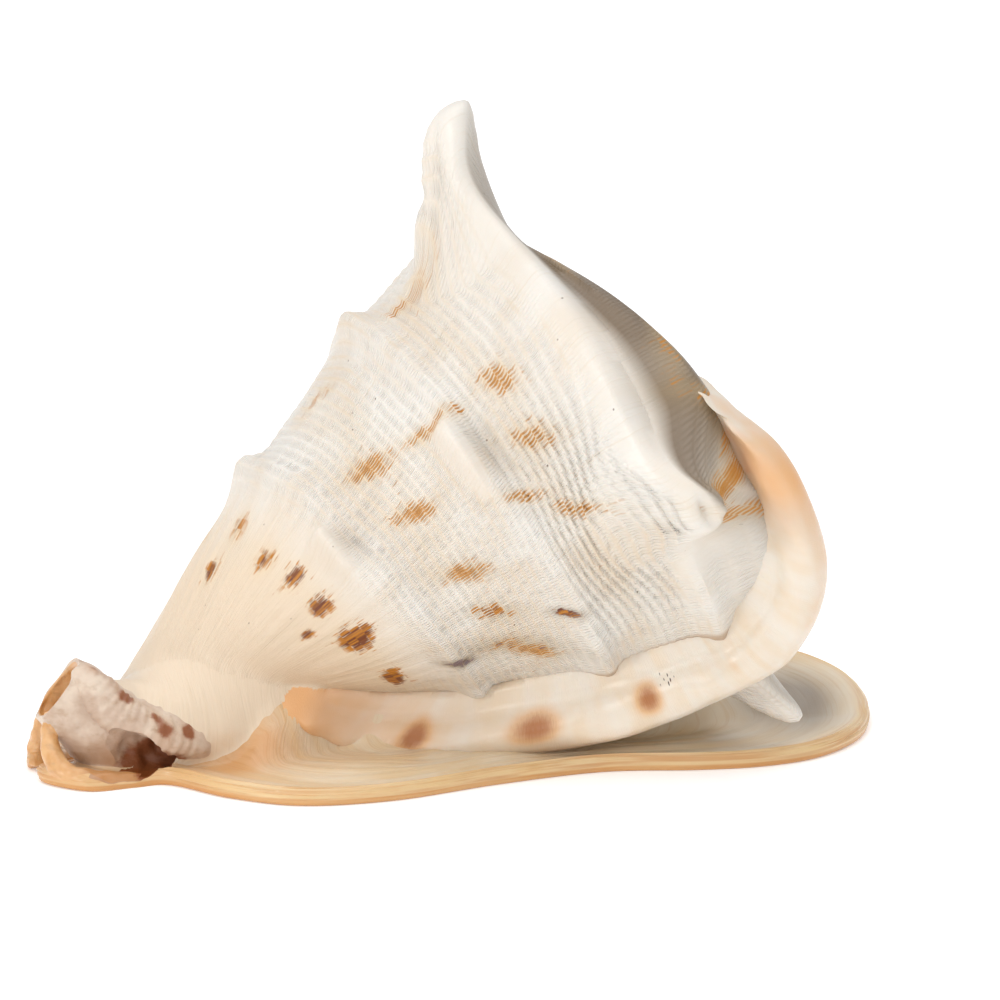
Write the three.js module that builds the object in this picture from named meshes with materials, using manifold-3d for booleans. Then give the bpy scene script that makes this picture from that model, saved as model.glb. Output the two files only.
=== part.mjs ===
// Horned helmet shell of a large sea snail, adult, lying on its aperture.
// Millimetres, +Z up. +X points to the spire, -X to the siphonal canal, -Y to the parietal shield.
// The whole shell is one grown body. A snail builds it by adding to its lip while the lip turns
// about a tilted axis and grows, so most of the outline comes from one lip profile carried back
// through time. "turn" is that age, in degrees: 0 at the present lip, 360 one whorl older.

import * as THREE from 'three';
import { mergeVertices } from 'three/addons/utils/BufferGeometryUtils.js';
import Module from 'manifold-3d';

// Driving dimensions
const AXIS_TILT = 26; // coiling axis above the ground
const APEX = new THREE.Vector3(69.4, 0, 87.7); // where every whorl shrinks to nothing
const WHORL_RATIO = 1.65; // size gained in one full turn
const LIP_ANGLE = -51; // where the shoulder keel meets the present lip, about the axis
const OLD_LIP_TURN = 270; // age of the thickened lip of the last growth pause
const SPIRE_WHORLS = 3;

// Lip profile from the neck to the shoulder keel: distance along the axis, radius, lag of the growth line
const FLANK = [
  [-196, 13, 46], [-186, 19, 35], [-172, 29, 28], [-156, 40, 24], [-135, 52, 19],
  [-111, 64, 13], [-88, 77, 8], [-68, 85, 4], [-52, 91, 1], [-40, 96, 0],
];
// Slope from the keel in to the suture, as it is on most of the whorl and close to the old lip
const RAMP = [[-33, 89, -4], [-28, 78, -7], [-25, 68, -5]];
const COLLAR = [[-12, 96, 1], [-4, 88, 0], [-15, 72, -2]];
const COLLAR_TURNS = [138, 215, 272, 290]; // the collar swells, holds, and sinks again

// Spiral ridges: distance from the keel across the flank, height, half width
const RIDGES = [[0, 4.5, 8], [47, 3.2, 7], [101, 2.6, 7]];

// Knobs and horn roots: turn, distance from the keel, height, half width in turn and across
const KNOBS = [
  [138, 0, 13, 9, 17], [224, 0, 7, 8, 12], [289, 0, 5, 7, 10], [52, 0, 9, 9, 14],
  [181, 47, 5, 6, 8], [164, 101, 3.5, 6, 7], [70, 47, 4, 7, 9],
];

// Plan outline of the base: present outer lip on the far side, shield on the near side
const BASE_OUTLINE = [
  [125, 20], [121, 42], [112, 57], [98, 71], [80, 80], [57, 83], [30, 84], [3, 83], [-28, 77],
  [-57, 68], [-82, 56], [-100, 42], [-112, 25], [-119, 8], [-120, -4], [-119, -15], [-110, -26],
  [-98, -25], [-87, -25], [-75, -44], [-58, -58], [-32, -59], [0, -49], [32, -43], [58, -48],
  [77, -49], [95, -43], [111, -27], [121, -5],
];
const BASE_MIDDLE = new THREE.Vector2(2, 10);
// Share of the way out at which the base rises into the body, every 30 degrees from the canal
const HILL_FOOT = [0.66, 0.42, 0.36, 0.36, 0.4, 0.58, 0.72, 0.7, 0.68, 0.68, 0.7, 0.7];
const HILL_TOP = 36;
const CLEARANCE = 0.6; // nothing but the base comes nearer the ground than this

// Lip edges in the plane of the aperture, from the canal round to the spire
const LIP_INNER = [
  [-108, 10], [-95, 21], [-79, 33], [-61, 42], [-43, 49], [-11, 55], [14, 59], [36, 60], [55, 61],
  [68, 62], [80, 56], [94, 46], [101, 30], [104, 8], [106, -14], [105, -34],
];
const LIP_OUTER = [
  [-110, 14], [-106, 32], [-98, 45], [-84, 57], [-58, 68], [-20, 78], [10, 84], [36, 85], [57, 84],
  [76, 82], [90, 78], [108, 64], [120, 44], [124, 16], [122, -6], [113, -24],
];
const OLD_LIP_SWELL = 8; // how far the old lip rolls out of its plane, at present size

// Aperture slit: centre line in plan, width, depth
const SLIT = [
  [72, 36, 6, 8], [64, 37, 11, 24], [50, 39, 14, 38], [30, 40, 15, 46], [0, 39, 15, 46],
  [-30, 34, 14, 40], [-58, 25, 12, 32], [-80, 15, 10, 24], [-98, 4, 8.4, 15.5], [-112, -2, 7.4, 13.5],
  [-126, -4, 6, 9],
];
const TOOTH_PITCH = 11;
const TOOTH_HEIGHT = 1.6;

const SHELL_WHITE = 0xeee6da;

const wasm = await Module();
wasm.setup();

const radians = THREE.MathUtils.degToRad;
const axis = new THREE.Vector3(Math.cos(radians(AXIS_TILT)), 0, Math.sin(radians(AXIS_TILT)));
const across = new THREE.Vector3(0, 1, 0);
const above = new THREE.Vector3().crossVectors(axis, across);

const shrink = (turn) => WHORL_RATIO ** (-turn / 360);

// Point at a distance along the coiling axis, a radius and an angle about it
function aboutAxis(along, radius, angle) {
  return APEX.clone()
    .addScaledVector(axis, along)
    .addScaledVector(across, radius * Math.cos(radians(angle)))
    .addScaledVector(above, radius * Math.sin(radians(angle)));
}

// Where a point of the present shell was, smaller and turned back, a given age ago
function older(point, turn) {
  return point.clone().sub(APEX).applyAxisAngle(axis, radians(turn))
    .multiplyScalar(shrink(turn)).add(APEX);
}

// Smooth curve through hand-set rows of up to three numbers
function curveOf(rows, closed = false) {
  const points = rows.map(([x, y, z = 0]) => new THREE.Vector3(x, y, z));
  return new THREE.CatmullRomCurve3(points, closed, 'catmullrom', 0.5);
}

function meshOf(points, triangles) {
  const geometry = new THREE.BufferGeometry().setFromPoints(points);
  geometry.setIndex(triangles.flat());
  return geometry;
}

// Closed skin over a row of closed rings, with a fan over the first and the last
function skin(rings) {
  const sides = rings[0].length;
  const centre = (ring) => ring.reduce((sum, p) => sum.add(p), new THREE.Vector3())
    .divideScalar(sides);
  const points = [...rings.flat(), centre(rings[0]), centre(rings.at(-1))];
  const triangles = [];
  const first = points.length - 2;
  const last = points.length - 1;
  for (let j = 0; j < sides; j += 1) {
    const k = (j + 1) % sides;
    const end = (rings.length - 1) * sides;
    triangles.push([first, k, j], [last, end + j, end + k]);
    for (let i = 0; i + 1 < rings.length; i += 1) {
      const [a, b] = [i * sides, (i + 1) * sides];
      triangles.push([a + j, a + k, b + k], [a + j, b + k, b + j]);
    }
  }
  return meshOf(points, triangles);
}

// Round bar along a curve, its radius read from a list, its ends closed
function bar(path, radii, sides = 12, steps = 9) {
  const curve = curveOf(path);
  const reach = curve.getPoint(1).sub(curve.getPoint(0)).normalize();
  const upright = Math.abs(reach.y) > 0.7 ? axis : across;
  const girth = curveOf(radii.map((radius, i) => [i, radius]));
  const rings = [];
  for (let i = 0; i <= steps; i += 1) {
    const middle = curve.getPoint(i / steps);
    const ahead = curve.getTangent(i / steps);
    const side = new THREE.Vector3().crossVectors(ahead, upright).normalize();
    const top = new THREE.Vector3().crossVectors(side, ahead);
    const radius = Math.max(girth.getPoint(i / steps).y, 0.2);
    rings.push(Array.from({ length: sides }, (_, j) => {
      const angle = (-2 * Math.PI * j) / sides;
      return middle.clone().addScaledVector(side, radius * Math.cos(angle))
        .addScaledVector(top, radius * Math.sin(angle));
    }));
  }
  return skin(rings);
}

const easing = (x, from, to) => THREE.MathUtils.smoothstep(x, from, to);

// Height of ridges and knobs above the plain profile; the slope side counts as negative
function relief(turn, fromKeel) {
  const ridges = RIDGES.map(([place, height, width]) => (
    height * Math.exp(-(((fromKeel - place) / width) ** 2))));
  const knobs = KNOBS.map(([at, place, height, halfTurn, width]) => (
    height * Math.exp(-(((turn - at) / halfTurn) ** 2) - ((fromKeel - place) / width) ** 2)));
  return [...ridges, ...knobs].reduce((sum, height) => sum + height, 0);
}

// Body whorl and spire: rows run from the neck over the keel to the suture and on up the spire;
// the last column joins the first one whorl up, which makes the spiral.
function whorls() {
  const columns = 50;
  const flankRows = 20;
  const rampRows = 4;
  const flank = curveOf(FLANK);
  const keel = FLANK.at(-1);
  const nextKeel = [keel[0] * shrink(360), keel[1] * shrink(360), 0];
  const rows = flankRows + 1 + SPIRE_WHORLS * rampRows;
  const points = [];
  for (let i = 0; i < columns; i += 1) {
    const turn = (360 * i) / columns;
    const swell = easing(turn, COLLAR_TURNS[0], COLLAR_TURNS[1])
      * (1 - easing(turn, COLLAR_TURNS[2], COLLAR_TURNS[3]));
    for (let j = 0; j < rows; j += 1) {
      const whorl = j <= flankRows ? 0 : Math.floor((j - flankRows - 1) / rampRows);
      const collar = whorl === 0 ? swell : 0;
      const slope = RAMP.map((row, n) => row.map((x, m) => THREE.MathUtils.lerp(x, COLLAR[n][m], collar)));
      const ramp = curveOf([keel, ...slope, nextKeel]);
      const share = (j - flankRows - whorl * rampRows) / rampRows;
      const row = j <= flankRows ? flank.getPoint(j / flankRows) : ramp.getPoint(share);
      const fromKeel = Math.hypot(row.x - keel[0], row.y - keel[1]);
      const age = turn + 360 * whorl;
      const lift = j <= flankRows ? relief(turn, fromKeel)
        : relief(age, -fromKeel) * (1 - share) + share * relief(age + 360, 0) * shrink(360);
      points.push(aboutAxis(row.x * shrink(age), (row.y + lift) * shrink(age), LIP_ANGLE + age + row.z));
    }
  }
  const tip = points.length;
  points.push(aboutAxis(FLANK[0][0] * 0.9 - 12, 0, 0), APEX.clone());
  const triangles = [];
  const quad = (a, b, c, d) => triangles.push([a, b, c], [a, c, d]);
  for (let i = 0; i < columns; i += 1) {
    const here = i * rows;
    const wraps = i === columns - 1;
    const next = wraps ? rampRows : here + rows;
    const start = wraps ? flankRows : 0;
    const nextRoot = wraps ? 0 : here + rows;
    triangles.push([tip, nextRoot, here]);
    for (let j = start; j + 1 < rows; j += 1) {
      if (next + j + 1 < (wraps ? rows : points.length)) {
        quad(here + j, next + j, next + j + 1, here + j + 1);
      }
    }
    if (!wraps) triangles.push([here + rows - 1, next + rows - 1, tip + 1]);
  }
  const lastColumn = (columns - 1) * rows;
  for (let j = 0; j < flankRows; j += 1) {
    quad(lastColumn + j, j, j + 1, lastColumn + j + 1);
  }
  for (let j = flankRows; j < flankRows + rampRows; j += 1) {
    triangles.push([lastColumn + flankRows, j, j + 1]);
  }
  for (let j = rows - 1 - rampRows; j + 1 < rows; j += 1) {
    triangles.push([lastColumn + j + 1, lastColumn + j, tip + 1]);
  }
  triangles.push([lastColumn + rows - 1 - rampRows, rows - 1, tip + 1]);
  return meshOf(points, triangles);
}

// Thick old lip: a rolled strip between the inner and outer lip edges, aged by its turn
function oldLip() {
  const stations = 36;
  const inner = curveOf(LIP_INNER);
  const outer = curveOf(LIP_OUTER);
  // share of the way from the inner to the outer edge, share of the swell out of the lip plane
  const section = [
    [-0.35, 0.1], [0.05, 0.35], [0.3, 0.8], [0.55, 1], [0.8, 0.85], [0.96, 0.4], [1, -0.1],
    [0.93, -0.5], [0.7, -0.8], [0.3, -1.1], [-0.35, -1.2],
  ];
  const rings = [];
  for (let i = 0; i <= stations; i += 1) {
    const near = inner.getPoint(i / stations);
    const far = outer.getPoint(i / stations);
    rings.push(section.map(([share, swell]) => {
      const point = near.clone().lerp(far, share);
      point.z = -swell * OLD_LIP_SWELL;
      return older(point, OLD_LIP_TURN);
    }));
  }
  return skin(rings);
}

// Base: shield and present outer lip as one plate that rests on its flat rim
function basePlate() {
  const sides = 56;
  const outline = curveOf(BASE_OUTLINE, true);
  const ring = (share, height) => Array.from({ length: sides }, (_, j) => {
    const rim = outline.getPoint(j / sides);
    const angle = Math.atan2(rim.y - BASE_MIDDLE.y, rim.x - BASE_MIDDLE.x);
    const x = THREE.MathUtils.lerp(BASE_MIDDLE.x, rim.x, share);
    const y = THREE.MathUtils.lerp(BASE_MIDDLE.y, rim.y, share);
    return new THREE.Vector3(x, y, height(angle, share));
  });
  const farSide = (angle) => Math.max(Math.sin(angle + 0.2), 0);
  const rimHeight = (angle) => 5 + 7 * farSide(angle) ** 0.7;
  const feet = curveOf(HILL_FOOT.map((share, i) => [i, share]), true);
  const hill = (angle, share) => {
    const foot = feet.getPoint((angle / (2 * Math.PI) + 1.5) % 1).y;
    return HILL_TOP * (1 - easing(share, foot - 0.25, foot + 0.08));
  };
  const dish = (share) => -0.3 * Math.sin(Math.PI * easing(share, 0.72, 1));
  const top = (angle, share) => rimHeight(angle) * (1 + dish(share)) + hill(angle, share);
  const flat = () => 0;
  return skin([
    ring(0.35, () => 4),
    ring(0.7, () => 2.5),
    ring(0.88, flat),
    ring(0.985, flat),
    ring(1, (angle) => 0.35 * rimHeight(angle)),
    ring(0.997, (angle) => 0.75 * rimHeight(angle)),
    ring(0.98, rimHeight),
    ...[0.91, 0.82, 0.73, 0.64, 0.55, 0.46, 0.35].map((share) => ring(share, top)),
  ]);
}

// Aperture: a deep narrow slit with teeth on both sides, running out through the canal
function slit() {
  const stations = 38;
  const line = curveOf(SLIT.map(([x, y]) => [x, y]));
  const size = curveOf(SLIT.map(([, , width, depth]) => [width, depth]));
  const rings = [];
  for (let i = 0; i <= stations; i += 1) {
    const middle = line.getPoint(i / stations);
    const ahead = line.getTangent(i / stations);
    const side = new THREE.Vector3(-ahead.y, ahead.x, 0);
    const { x: width, y: depth } = size.getPoint(i / stations);
    const toothed = easing(middle.x, -80, -50) * (1 - easing(middle.x, 70, 85));
    const tooth = TOOTH_HEIGHT * toothed * Math.cos((2 * Math.PI * middle.x) / TOOTH_PITCH);
    const half = width / 2;
    const corner = [
      [-half - 4, -3], [half + 4, -3], [half + 2.5 - tooth, 1], [half - tooth, depth * 0.15],
      [half, depth * 0.35], [half, depth * 0.7], [half * 0.3, depth], [-half * 0.3, depth],
      [-half, depth * 0.7], [-half, depth * 0.35], [-half + tooth, depth * 0.15],
      [-half - 2.5 + tooth, 1],
    ];
    rings.push(corner.map(([offset, height]) => (
      middle.clone().addScaledVector(side, offset).setZ(height))));
  }
  return skin(rings);
}

// Horns of the shoulder keel, each at its turn: foot below the surface, lean, length, girth
function keelHorn(turn, length, lean, radii) {
  const [along, radius] = FLANK.at(-1);
  const size = shrink(turn);
  const step = (out, back) => aboutAxis(
    along * size + back, radius * size + out, LIP_ANGLE + turn).toArray();
  const path = [step(-8, -2), step(length * 0.15, lean * 0.1), step(length * 0.5, lean * 0.45),
    step(length * 0.8, lean * 0.8), step(length, lean)];
  return bar(path, radii);
}

function solid(geometry) {
  geometry.deleteAttribute('normal');
  geometry.deleteAttribute('uv');
  const merged = mergeVertices(geometry, 1e-4);
  return new wasm.Manifold(new wasm.Mesh({
    numProp: 3,
    vertProperties: merged.attributes.position.array,
    triVerts: Uint32Array.from(merged.index.array),
  }));
}

function geometryOf(manifold) {
  const { vertProperties, triVerts } = manifold.getMesh();
  const geometry = new THREE.BufferGeometry();
  geometry.setAttribute('position', new THREE.BufferAttribute(Float32Array.from(vertProperties), 3));
  geometry.setIndex(Array.from(triVerts));
  return geometry;
}

// Siphonal canal: a short tube bent up and forward, with the ridge of its older edges beside it
const canal = bar([[-64, 6, 13], [-86, 1, 10], [-101, -3, 13], [-110, -5, 26]], [8, 12, 12, 10.5]);
const canalBore = bar([[-84, 2, 6], [-96, -1, 8], [-105, -4, 16], [-116, -6, 36]], [5, 6, 7, 9]);
const fasciole = bar(
  [[-108, -8, 26], [-104, -12, 21], [-91, -16, 14.5], [-80, -18, 10.5], [-74, -18, 8]],
  [7.5, 8.5, 6.5, 4, 1.5]);
const umbilicus = bar([[-120, -24, 6], [-104, -17, 5.5], [-94, -12, 6], [-84, -8, 7]], [5, 5.5, 5, 2]);
const ground = new THREE.BoxGeometry(600, 600, 100).translate(0, 0, CLEARANCE - 50);

const topHorn = keelHorn(138, 34, 14, [11, 11, 8.5, 6.5, 4]);
const brokenHorn = keelHorn(224, 17, 10, [9, 9.5, 8.5, 7.5, 6.5]);
const brokenHollow = keelHorn(224, 19, 11, [1, 2, 3, 4, 4.5]);
const smallHorn = keelHorn(289, 17, 10, [12, 9, 6, 4.5, 2.5]);

const shellSolid = [oldLip(), canal, fasciole, topHorn, brokenHorn, smallHorn]
  .reduce((sum, piece) => sum.add(solid(piece)), solid(whorls()))
  .subtract(solid(ground))
  .add(solid(basePlate()))
  .subtract(solid(slit()))
  .subtract(solid(canalBore))
  .subtract(solid(umbilicus))
  .subtract(solid(brokenHollow));

const shellGeometry = geometryOf(shellSolid);
shellGeometry.computeBoundingBox();
const { min, max } = shellGeometry.boundingBox;
shellGeometry.translate(-(min.x + max.x) / 2, -(min.y + max.y) / 2, -min.z);

const shell = new THREE.Mesh(shellGeometry, new THREE.MeshStandardMaterial({
  color: SHELL_WHITE, roughness: 0.45, metalness: 0,
}));
shell.name = 'shell';

const group = new THREE.Group();
group.add(shell);

export default group;
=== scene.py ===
import bpy
import numpy as np
from mathutils import Matrix, Vector


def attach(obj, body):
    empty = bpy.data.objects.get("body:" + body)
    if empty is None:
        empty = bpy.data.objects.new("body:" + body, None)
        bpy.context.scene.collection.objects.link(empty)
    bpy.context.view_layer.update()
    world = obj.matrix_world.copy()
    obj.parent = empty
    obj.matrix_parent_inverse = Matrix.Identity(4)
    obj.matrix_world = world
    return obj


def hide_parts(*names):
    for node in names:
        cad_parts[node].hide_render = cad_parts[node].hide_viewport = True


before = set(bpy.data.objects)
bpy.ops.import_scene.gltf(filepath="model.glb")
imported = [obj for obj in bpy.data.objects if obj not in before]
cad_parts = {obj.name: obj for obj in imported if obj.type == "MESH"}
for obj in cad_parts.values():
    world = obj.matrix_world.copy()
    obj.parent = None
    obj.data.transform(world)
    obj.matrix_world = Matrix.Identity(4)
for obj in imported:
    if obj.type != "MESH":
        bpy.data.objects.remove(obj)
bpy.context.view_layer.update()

# ---- Body whorl and spire --------------------------------------------------------------
# The snail adds shell at its lip while the lip turns about a tilted axis and grows, so one lip
# profile carried back through time gives the whorl. It is chalky ivory shell with spiral cords
# and growth lines, and its shoulder is drawn out into horns. Turn 0 is the present lip.
MM = 0.001
PLACE = np.array([-2.4375, -5.9502, 0.0])  # from the lip's own origin to the middle of the base
AXIS_TILT = np.radians(26)
APEX = np.array([69.4, 0.0, 87.7])
WHORL_RATIO = 1.65
LIP_ANGLE = -51
SPIRE_WHORLS = 3
RAMP_LENGTH = 42.0
FLANK = [  # distance along the axis, radius, lag of the growth line, from the neck to the keel
    [-196, 13, 46], [-186, 19, 35], [-172, 29, 28], [-156, 40, 24], [-135, 52, 19],
    [-111, 64, 13], [-88, 77, 8], [-68, 85, 4], [-52, 91, 1], [-40, 96, 0],
]
RAMP = [[-33, 89, -4], [-28, 78, -7], [-25, 68, -5]]
COLLAR = [[-12, 96, 1], [-4, 88, 0], [-15, 72, -2]]
COLLAR_TURNS = (138, 215, 272, 290)
KEEL_LEAN = 7.0  # how far the keel leans up the spire between its horns
KEEL_LEAN_TURNS = (130, 152, 184, 226)
RIDGES = [(0, 6.4, 8), (47, 3.4, 5), (101, 2.8, 5.5)]  # distance from the keel, height, half width
OLD_LIP_TURN = 270
KNOBS = [  # turn, distance from the keel, height, half turn, half width
    (52, 0, 9, 9, 14), (70, 47, 4, 7, 9),
    (120, 47, 3.5, 8, 7), (28, 101, 2.5, 6, 7), (98, 101, 3, 7, 7), (20, 47, 3, 7, 8),
    (252, 50, 3, 7, 6), (232, 101, 2, 7, 6), (262, 101, 3, 5, 6), (265, 52, 2.5, 4, 6),
    (134, 14, 9, 4, 4.5),
]
FINGERS = [  # turn, distance from the keel, height, half turn before and after, half width
    (176, 54, 9.5, 3, 26, 5), (162, 110, 8, 3, 22, 4.6),
]
HOLLOWS = [(184, 43, -4.5, 7, 20, 4.5), (170, 101, -3, 6, 18, 4)]  # beside the fingers, alike
TALL_HORN, BROKEN_HORN = 138, 224  # turns of two of the horns
CORD_PITCH = 3.8
axis = np.array([np.cos(AXIS_TILT), 0, np.sin(AXIS_TILT)])
across = np.array([0.0, 1.0, 0.0])
above = np.cross(axis, across)
keel = np.array(FLANK[-1], float)


def smooth(rows, share, closed=False):
    """Catmull-Rom curve through the rows, read at shares of its length from 0 to 1.

    Between rows b and c, with neighbours a and d, it is
    b + t/2 (c - a + t (2a - 5b + 4c - d + t (3b - a - 3c + d)))."""
    rows = np.asarray(rows, float)
    if closed:
        padded = np.vstack([rows[-1:], rows, rows[:2]])
        count = len(rows)
        place = (np.asarray(share, float) % 1) * count
    else:
        padded = np.vstack([2 * rows[0] - rows[1], rows, 2 * rows[-1] - rows[-2]])
        count = len(rows) - 1
        place = np.clip(share, 0, 1) * count
    first = np.minimum(place.astype(int), count - 1)
    t = (place - first)[..., None]
    a, b, c, d = (padded[first + k] for k in range(4))
    return b + t / 2 * (c - a + t * (2 * a - 5 * b + 4 * c - d + t * (3 * b - a - 3 * c + d)))


def easing(x, start, end):
    """0 before start, 1 after end, and 3t^2 - 2t^3 of the share t between them."""
    t = np.clip((x - start) / (end - start), 0, 1)
    return t * t * (3 - 2 * t)


def hump(x, y, at_x, at_y, half_x, half_y):
    """Bell of height 1: e to the minus squared distance, each way in its own half width."""
    return np.exp(-((x - at_x) / half_x) ** 2 - ((y - at_y) / half_y) ** 2)


def shrink(turn):
    """Size the shell had a turn ago: the whorl ratio to the power of minus the whorls."""
    return WHORL_RATIO ** (-turn / 360)


def about_axis(along, radius, angle):
    """Apex plus a distance along the axis plus a radius at an angle in degrees about it."""
    angle = np.radians(angle)
    return (APEX + along[..., None] * axis + (radius * np.cos(angle))[..., None] * across
            + (radius * np.sin(angle))[..., None] * above)


def swell_waves(x, y, size_x, size_y, seed, count=9):
    """Smooth uneven swelling: the mean of plane waves with seeded directions and phases."""
    draw = np.random.default_rng(seed)
    total = np.zeros(np.broadcast(x, y).shape)
    for _ in range(count):
        heading, pitch, phase = draw.uniform(0, 2 * np.pi), draw.uniform(0.7, 1.6), draw.uniform(0, 6.28)
        total += np.sin(pitch * (x / size_x * np.cos(heading) + y / size_y * np.sin(heading))
                        * 2 * np.pi + phase)
    return total / count * 2


# Horns: turn, height and half widths of the swell under it, lean along the axis and onward, foot
# radius, and from the tip to the foot the radius and the height at even shares of the way
HORNS = [
    (TALL_HORN, 6, 10, 18, 0.44, 0, 24, [
        (0, 23.8), (5.0, 23.2), (6.3, 20.2), (6.8, 16), (7.2, 11.8), (8.2, 7.6), (11, 3.8),
        (16.4, 1), (24, 0)]),
    (BROKEN_HORN, 5, 10, 14, 0.6, 0.6, 22, [
        (0, 8.6), (2.9, 8.8), (5.2, 8.4), (6.8, 7), (8.6, 5), (11, 3), (14.4, 1.3), (18.2, 0.4),
        (22, 0)]),
    (289, 5, 8, 11, 0.42, 0, 16, [
        (0, 18.2), (2, 17.6), (3.3, 15.6), (4.2, 13), (5.2, 10), (6.6, 7), (8.8, 3.8), (12.2, 1.2),
        (16, 0)]),
]


def draw_horns(turn, v):
    """Draws the disc of shell round each horn's foot up into the horn.

    A point at a share of the foot's radius goes in to the horn's radius there and rises by its
    height, out from the axis and leaning back along it. Returns the new turn and distance from
    the keel, the rise, the share by which the horn stands on a flat foot, and that foot's point."""
    rise, foot_point = np.zeros(turn.shape + (3,)), np.zeros(turn.shape + (3,))
    crown = np.zeros(turn.shape)
    for at, swell, half_turn, half_width, lean, sweep, foot, rows in HORNS:
        size = shrink(at)
        degree = np.radians(1) * keel[1] * size
        reach = np.hypot((turn - at) * degree, v * size) / foot
        side = np.arctan2((turn - at) * degree, v * size)
        radius, height = np.moveaxis(smooth(rows, reach), -1, 0)
        inside = reach < 1
        flute = 1 + 0.06 * np.sin(4 * side + 5 * reach) * np.sin(np.pi * np.clip(reach, 0, 1))
        if at == TALL_HORN:
            spur = easing(reach, 0.1, 0.2) * (1 - easing(reach, 0.5, 0.8))
            flute = flute + spur * (0.34 * hump(side, 0, -0.15, 0, 0.26, 1)
                                    - 0.14 * hump(side, 0, 0.4, 0, 0.22, 1))
        pull = np.where(inside, radius * flute / np.maximum(reach * foot, 1e-6), 1)
        turn = at + (turn - at) * pull
        v = v * pull
        if at == BROKEN_HORN:
            scar_x, scar_y = reach * np.sin(side), reach * np.cos(side)
            height = height - 2.4 * hump(scar_x, scar_y, 0, -0.02, 0.17, 0.09) + 0.9 * hump(
                scar_x, scar_y, 0.06, -0.17, 0.16, 0.05) * (1 + 0.8 * np.sin(26 * scar_x))
        height = np.where(inside, height, 0)
        height = height + swell * size * hump(turn, v, at, 0, half_turn, half_width)
        angle = np.radians(LIP_ANGLE + at)
        outward = np.cos(angle) * across + np.sin(angle) * above
        onward = np.cos(angle) * above - np.sin(angle) * across
        rise += height[..., None] * (outward + lean * axis + sweep * onward)
        flat = (1 - easing(reach, 0.45, 1)) * inside
        middle = APEX + keel[0] * size * axis + (keel[1] + RIDGES[0][1] - 1.5) * size * outward
        foot_point += flat[..., None] * (middle + ((turn - at) * degree)[..., None] * onward
                                         - (v * size)[..., None] * axis)
        crown += flat
    return turn, v, rise, crown[..., None], foot_point


def relief(turn, v):
    """Height over the plain profile: bells for ridges, knobs and fingers, nodules up the spire, a
    dip behind the keel, and the keel's corner rounded off by the distance from a hyperbola to its
    asymptotes."""
    height = sum(h * np.exp(-((v - place) / np.where(v < 0, 0.7 * half, half)) ** 2)
                 for place, h, half in RIDGES)
    height = height - 0.5 * (np.sqrt(v ** 2 + 4.5 ** 2) - np.abs(v))
    height = height + sum(h * hump(turn, v, at, place, half_turn, half)
                          for at, place, h, half_turn, half in KNOBS)
    for at, place, h, before, after, half in FINGERS + HOLLOWS:
        height = height + h * hump(turn, v, at, place, np.where(turn < at, before, after), half)
    nodule = np.clip(np.cos(np.radians(turn * 9)), 0, 1) ** 2 * easing(turn, 340, 380)
    behind = 2.4 * easing(turn, 145, 165) * (1 - easing(turn, 215, 235))
    return height + 4.5 * nodule * np.exp(-(v / 9) ** 2) - behind * np.exp(-((v + 9) / 4) ** 2)


def cord_place(turn, v):
    """Distance from the keel as the cords count it: it wanders, and near the second horn it
    falls behind, so that the cords swing out round the horn."""
    round_horn = 16 * np.exp(-((turn - 222) / 17) ** 2) * np.exp(-(v / 42) ** 2) * (v > 0)
    return v - round_horn * easing(v, 0, 10) + 0.7 * swell_waves(turn, v, 40, 30, 3)


def fine_relief(turn, v):
    """Spiral cords, wavy growth ledges near the old lip, and slow unevenness, in millimetres."""
    wander = swell_waves(turn, v, 40, 30, 3)
    cords = np.cos(2 * np.pi * cord_place(turn, v) / CORD_PITCH)
    late = easing(turn, 234, 250)
    corded = np.maximum(easing(v, 4, 11), 0.6 * late) * (1 - easing(v, 99, 112))
    corded = corded * (1 - 0.55 * np.exp(-((v - 47) / 5) ** 2))
    ledges = np.sin(2 * np.pi * (turn / 3.4 + 0.12 * np.sin(v / 2.1) + 0.3 * wander))
    ledged = easing(turn, 205, 245) * np.maximum(easing(v, 2, 12), late) * (1 - easing(v, 95, 118))
    for at, place, _, before, after, half in FINGERS:
        corded = corded * (1 - 0.85 * hump(turn, v, at, place, np.where(turn < at, before, after), half))
    growth = swell_waves(turn, v, 13, 120, 5) + 0.6 * swell_waves(turn, v, 5, 90, 6)
    bold = 0.17 + 0.33 * easing(turn, 110, 150) * (1 - easing(turn, 250, 266)) * (1 - easing(v, 40, 66))
    bold = bold + 0.4 * easing(turn, 184, 200) * (1 - easing(turn, 240, 258)) * (1 - easing(v, 36, 60))
    slope = easing(-v, 3, 9) * (1 - easing(-v, 30, 40))
    slope = slope * easing(turn, 60, 100) * (1 - easing(turn, 262, 280))
    flank = easing(v, -2, 10)
    return (bold * cords * corded + 0.16 * ledges * ledged * (1 - 0.7 * easing(turn, 252, 262))
            + flank * 0.3 * growth + 0.36 * slope * np.cos(2 * np.pi * (v + 0.5 * wander) / 5))


flank_shares = np.linspace(1, 0, 500)
flank_table = smooth(FLANK, flank_shares)
flank_distance = np.hypot(flank_table[:, 0] - keel[0], flank_table[:, 1] - keel[1])
next_keel = [keel[0] * shrink(360), keel[1] * shrink(360), 0]


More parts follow.
